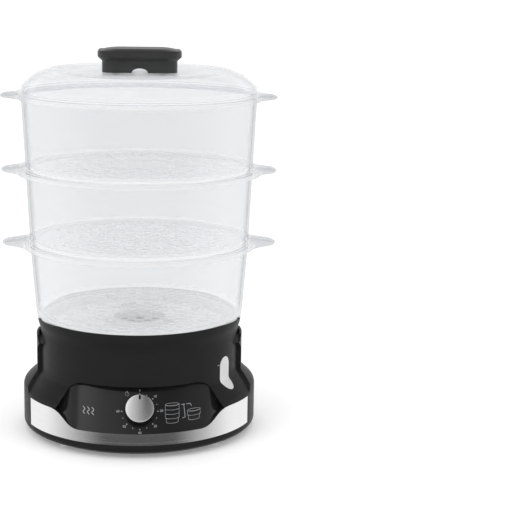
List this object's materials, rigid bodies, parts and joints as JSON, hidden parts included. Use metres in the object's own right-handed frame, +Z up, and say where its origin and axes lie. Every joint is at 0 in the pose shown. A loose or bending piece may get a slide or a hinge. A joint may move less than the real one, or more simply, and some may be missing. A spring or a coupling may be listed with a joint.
{
  "type": "electric food steamer",
  "caption": "Electric food steamer: round base with water tank, heater and clockwork timer knob, drip tray, stacked clear bowls with ears, and a domed lid with a handle.",
  "frame": {"origin": "on the table under the middle of the stack", "axes": "+Z up along the stack's axis, -Y towards the front with the timer knob, +X to the right seen from the front, where the water window is"},
  "size_m": [0.29, 0.2594, 0.4076],
  "materials": {
    "black_housing": "satin black moulding",
    "black_cover": "fine grain",
    "gloss_black": "high gloss",
    "black_grommet": "matt",
    "plated_steel": "zinc plated",
    "bright_band": "bright satin",
    "stainless": "satin",
    "seal_rubber": "silicone",
    "element_alloy": "cast",
    "lead_insulation": "silicone sleeve",
    "foot_rubber": "matt",
    "white_insulator": "moulded",
    "fuse_sleeve": "woven sleeve",
    "thermostat_body": "moulded",
    "timer_plastic": "moulded",
    "tank_plastic": "moulded",
    "window_plastic": "clear, polished",
    "knob_black": "satin",
    "knob_silver": "fine satin",
    "brass_shaft": "turned",
    "diffuser_plastic": "moulded",
    "tray_plastic": "moulded",
    "clear_bowl": "clear, polished",
    "handle_black": "satin"
  },
  "bodies": {
    "base": {"base_housing": "black_housing", "bottom_cover": "black_cover", "control_panel": "gloss_black", "cord_inlet": "black_grommet", "cover_screws": "plated_steel", "front_band": "bright_band", "heater_clamp": "plated_steel", "heater_nuts": "plated_steel", "heater_plate": "stainless", "heater_seal": "seal_rubber", "heating_element": "element_alloy", "internal_leads": "lead_insulation", "rubber_feet": "foot_rubber", "terminal_block": "white_insulator", "thermal_fuse": "fuse_sleeve", "thermostat": "thermostat_body", "timer_bell": "plated_steel", "timer_case": "timer_plastic", "timer_screws": "plated_steel", "water_tank": "tank_plastic", "water_window": "window_plastic"},
    "knob": {"timer_knob": "knob_black", "knob_face": "knob_silver", "knob_pointer": "knob_black", "timer_shaft": "brass_shaft", "timer_cam": "timer_plastic"},
    "diffuser": {"steam_diffuser": "diffuser_plastic"},
    "tray": {"drip_tray": "tray_plastic"},
    "lower_bowl": {"bowl_1": "clear_bowl"},
    "middle_bowl": {"bowl_2": "clear_bowl"},
    "upper_bowl": {"bowl_3": "clear_bowl"},
    "lid": {"lid": "clear_bowl", "lid_handle": "handle_black", "lid_screws": "plated_steel"}
  },
  "joints": [
    {"name": "knob_turn", "type": "hinge", "parent": "base", "child": "knob", "pos_m": [0, -0.11121, 0.0465], "axis": [0, 0.8387, -0.5446], "range_deg": [0, 270]},
    {"name": "diffuser_lift", "type": "slide", "parent": "base", "child": "diffuser", "axis": [0, 0, 1], "range_m": [0, 0.1]},
    {"name": "tray_lift", "type": "slide", "parent": "diffuser", "child": "tray", "axis": [0, 0, 1], "range_m": [0, 0.1]},
    {"name": "lower_bowl_lift", "type": "slide", "parent": "tray", "child": "lower_bowl", "axis": [0, 0, 1], "range_m": [0, 0.1]},
    {"name": "middle_bowl_lift", "type": "slide", "parent": "lower_bowl", "child": "middle_bowl", "axis": [0, 0, 1], "range_m": [0, 0.1]},
    {"name": "upper_bowl_lift", "type": "slide", "parent": "middle_bowl", "child": "upper_bowl", "axis": [0, 0, 1], "range_m": [0, 0.1]},
    {"name": "lid_lift", "type": "slide", "parent": "upper_bowl", "child": "lid", "axis": [0, 0, 1], "range_m": [0, 0.12]}
  ]
}
